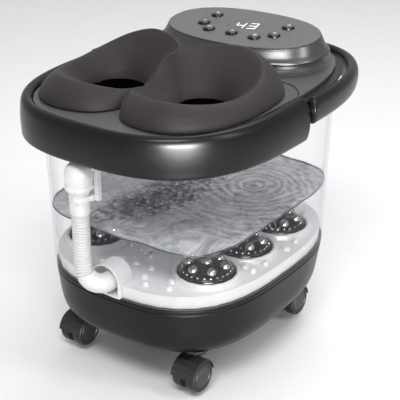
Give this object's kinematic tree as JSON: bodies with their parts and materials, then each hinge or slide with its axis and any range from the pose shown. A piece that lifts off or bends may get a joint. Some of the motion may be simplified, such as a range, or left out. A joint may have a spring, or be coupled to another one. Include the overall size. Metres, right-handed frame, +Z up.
{
  "type": "foot spa basin",
  "caption": "Deep foot spa on twin-wheel casters: clear water tub, massage discs, twin foot cuffs on a lift-off lid, swinging carry handle, control pod and drain hose.",
  "frame": {"origin": "on the floor under the middle of the object's box", "axes": "+Z up; +X to the user's right; +Y from the heels towards the control pod"},
  "size_m": [0.361, 0.4588, 0.4122],
  "materials": {
    "charcoal_satin": "satin",
    "base_black": "satin",
    "deck_grey": "satin",
    "pod_grey": "satin, metallic paint look",
    "clear_plastic": "clear, polished",
    "white_plastic": "semi gloss",
    "cuff_silicone": "matte",
    "button_black": "gloss",
    "dark_chrome": "dark, polished",
    "rubber_black": "matte",
    "pin_steel": "satin",
    "circuit_board": "matte",
    "smoked_lens": "gloss, smoked",
    "caster_plastic": "satin"
  },
  "bodies": {
    "basin": {"air_pump": "base_black", "base_shell": "base_black", "bottom_cover": "base_black", "caster_socket_front_left": "caster_plastic", "caster_socket_front_right": "caster_plastic", "caster_socket_rear_left": "caster_plastic", "caster_socket_rear_right": "caster_plastic", "control_board": "circuit_board", "control_pod": "pod_grey", "cord_gland": "rubber_black", "display_window": "smoked_lens", "drain_hose": "white_plastic", "drain_niche": "white_plastic", "drive_belt": "rubber_black", "drive_motor": "pin_steel", "floor_tray": "white_plastic", "handle_pin_left": "pin_steel", "handle_pin_right": "pin_steel", "hose_cap": "white_plastic", "hose_clip": "white_plastic", "panel_face": "pod_grey", "power_board": "circuit_board", "rear_deck": "deck_grey", "rim_bumper": "charcoal_satin", "temperature_probe": "pin_steel", "top_collar": "charcoal_satin", "tub_gasket": "rubber_black", "tub_wall": "clear_plastic", "water_heater": "pin_steel"},
    "lid": {"lid_frame": "deck_grey", "foot_cover": "cuff_silicone"},
    "handle": {"carry_handle": "charcoal_satin"},
    "key_power": {"button_power": "button_black"},
    "key_heat": {"button_heat": "button_black"},
    "key_timer": {"button_timer": "button_black"},
    "key_bubble": {"button_bubble": "button_black"},
    "key_massage": {"button_massage": "button_black"},
    "key_light": {"button_light": "button_black"},
    "key_mode": {"button_mode": "button_black"},
    "motor_rotor": {"motor_pulley": "white_plastic"},
    "disc_front_left": {"massage_disc_front_left": "dark_chrome", "disc_pulley_front_left": "white_plastic"},
    "disc_front_right": {"massage_disc_front_right": "dark_chrome", "disc_pulley_front_right": "white_plastic"},
    "disc_middle_left": {"massage_disc_middle_left": "dark_chrome", "disc_pulley_middle_left": "white_plastic"},
    "disc_middle_right": {"massage_disc_middle_right": "dark_chrome", "disc_pulley_middle_right": "white_plastic"},
    "disc_rear_left": {"massage_disc_rear_left": "dark_chrome", "disc_pulley_rear_left": "white_plastic"},
    "disc_rear_right": {"massage_disc_rear_right": "dark_chrome", "disc_pulley_rear_right": "white_plastic"},
    "swivel_front_left": {"caster_fork_front_left": "caster_plastic"},
    "wheel_front_left": {"caster_wheel_front_left": "caster_plastic"},
    "swivel_front_right": {"caster_fork_front_right": "caster_plastic"},
    "wheel_front_right": {"caster_wheel_front_right": "caster_plastic"},
    "swivel_rear_left": {"caster_fork_rear_left": "caster_plastic"},
    "wheel_rear_left": {"caster_wheel_rear_left": "caster_plastic"},
    "swivel_rear_right": {"caster_fork_rear_right": "caster_plastic"},
    "wheel_rear_right": {"caster_wheel_rear_right": "caster_plastic"}
  },
  "joints": [
    {"name": "lid_lift", "type": "slide", "parent": "basin", "child": "lid", "axis": [0, 0, 1], "range_m": [0, 0.095]},
    {"name": "handle_swing", "type": "hinge", "parent": "basin", "child": "handle", "pos_m": [0, 0.0265, 0.35], "axis": [1, 0, 0], "range_deg": [0, 90]},
    {"name": "press_power", "type": "slide", "parent": "basin", "child": "key_power", "axis": [0, 0.0965, -0.9953], "range_m": [0, 0.001], "stiffness_N_per_m": 300},
    {"name": "press_heat", "type": "slide", "parent": "basin", "child": "key_heat", "axis": [0, 0.0965, -0.9953], "range_m": [0, 0.001], "stiffness_N_per_m": 300},
    {"name": "press_timer", "type": "slide", "parent": "basin", "child": "key_timer", "axis": [0, 0.0965, -0.9953], "range_m": [0, 0.001], "stiffness_N_per_m": 300},
    {"name": "press_bubble", "type": "slide", "parent": "basin", "child": "key_bubble", "axis": [0, 0.0965, -0.9953], "range_m": [0, 0.001], "stiffness_N_per_m": 300},
    {"name": "press_massage", "type": "slide", "parent": "basin", "child": "key_massage", "axis": [0, 0.0965, -0.9953], "range_m": [0, 0.001], "stiffness_N_per_m": 300},
    {"name": "press_light", "type": "slide", "parent": "basin", "child": "key_light", "axis": [0, 0.0965, -0.9953], "range_m": [0, 0.001], "stiffness_N_per_m": 300},
    {"name": "press_mode", "type": "slide", "parent": "basin", "child": "key_mode", "axis": [0, 0.0965, -0.9953], "range_m": [0, 0.001], "stiffness_N_per_m": 300},
    {"name": "disc_spin_front_left", "type": "hinge", "parent": "basin", "child": "disc_front_left", "pos_m": [-0.09, -0.1, 0.145], "axis": [0, 0, 1], "continuous": true},
    {"name": "disc_spin_front_right", "type": "hinge", "parent": "basin", "child": "disc_front_right", "pos_m": [0.09, -0.1, 0.145], "axis": [0, 0, 1], "continuous": true},
    {"name": "disc_spin_middle_left", "type": "hinge", "parent": "basin", "child": "disc_middle_left", "pos_m": [-0.09, -0.015, 0.145], "axis": [0, 0, 1], "continuous": true},
    {"name": "disc_spin_middle_right", "type": "hinge", "parent": "basin", "child": "disc_middle_right", "pos_m": [0.09, -0.015, 0.145], "axis": [0, 0, 1], "continuous": true},
    {"name": "disc_spin_rear_left", "type": "hinge", "parent": "basin", "child": "disc_rear_left", "pos_m": [-0.09, 0.07, 0.145], "axis": [0, 0, 1], "continuous": true},
    {"name": "disc_spin_rear_right", "type": "hinge", "parent": "basin", "child": "disc_rear_right", "pos_m": [0.09, 0.07, 0.145], "axis": [0, 0, 1], "continuous": true},
    {"name": "motor_spin", "type": "hinge", "parent": "basin", "child": "motor_rotor", "pos_m": [0, 0.0825, 0.106], "axis": [0, 0, 1], "continuous": true},
    {"name": "caster_swivel_front_left", "type": "hinge", "parent": "basin", "child": "swivel_front_left", "pos_m": [-0.095, -0.1295, 0.05], "axis": [0, 0, 1], "continuous": true},
    {"name": "caster_roll_front_left", "type": "hinge", "parent": "swivel_front_left", "child": "wheel_front_left", "pos_m": [-0.095, -0.1382, 0.021], "axis": [1, 0, 0], "continuous": true},
    {"name": "caster_swivel_front_right", "type": "hinge", "parent": "basin", "child": "swivel_front_right", "pos_m": [0.095, -0.1295, 0.05], "axis": [0, 0, 1], "continuous": true},
    {"name": "caster_roll_front_right", "type": "hinge", "parent": "swivel_front_right", "child": "wheel_front_right", "pos_m": [0.095, -0.1382, 0.021], "axis": [1, 0, 0], "continuous": true},
    {"name": "caster_swivel_rear_left", "type": "hinge", "parent": "basin", "child": "swivel_rear_left", "pos_m": [-0.095, 0.1077, 0.05], "axis": [0, 0, 1], "continuous": true},
    {"name": "caster_roll_rear_left", "type": "hinge", "parent": "swivel_rear_left", "child": "wheel_rear_left", "pos_m": [-0.095, 0.099, 0.021], "axis": [1, 0, 0], "continuous": true},
    {"name": "caster_swivel_rear_right", "type": "hinge", "parent": "basin", "child": "swivel_rear_right", "pos_m": [0.095, 0.1077, 0.05], "axis": [0, 0, 1], "continuous": true},
    {"name": "caster_roll_rear_right", "type": "hinge", "parent": "swivel_rear_right", "child": "wheel_rear_right", "pos_m": [0.095, 0.099, 0.021], "axis": [1, 0, 0], "continuous": true}
  ],
  "couplings": [
    {"joint": "disc_spin_front_left", "follows": "disc_spin_front_right", "ratio": 1},
    {"joint": "disc_spin_middle_left", "follows": "disc_spin_front_right", "ratio": 1},
    {"joint": "disc_spin_middle_right", "follows": "disc_spin_front_right", "ratio": 1},
    {"joint": "disc_spin_rear_left", "follows": "disc_spin_front_right", "ratio": 1},
    {"joint": "disc_spin_rear_right", "follows": "disc_spin_front_right", "ratio": 1},
    {"joint": "motor_spin", "follows": "disc_spin_front_right", "ratio": 2.5625}
  ]
}
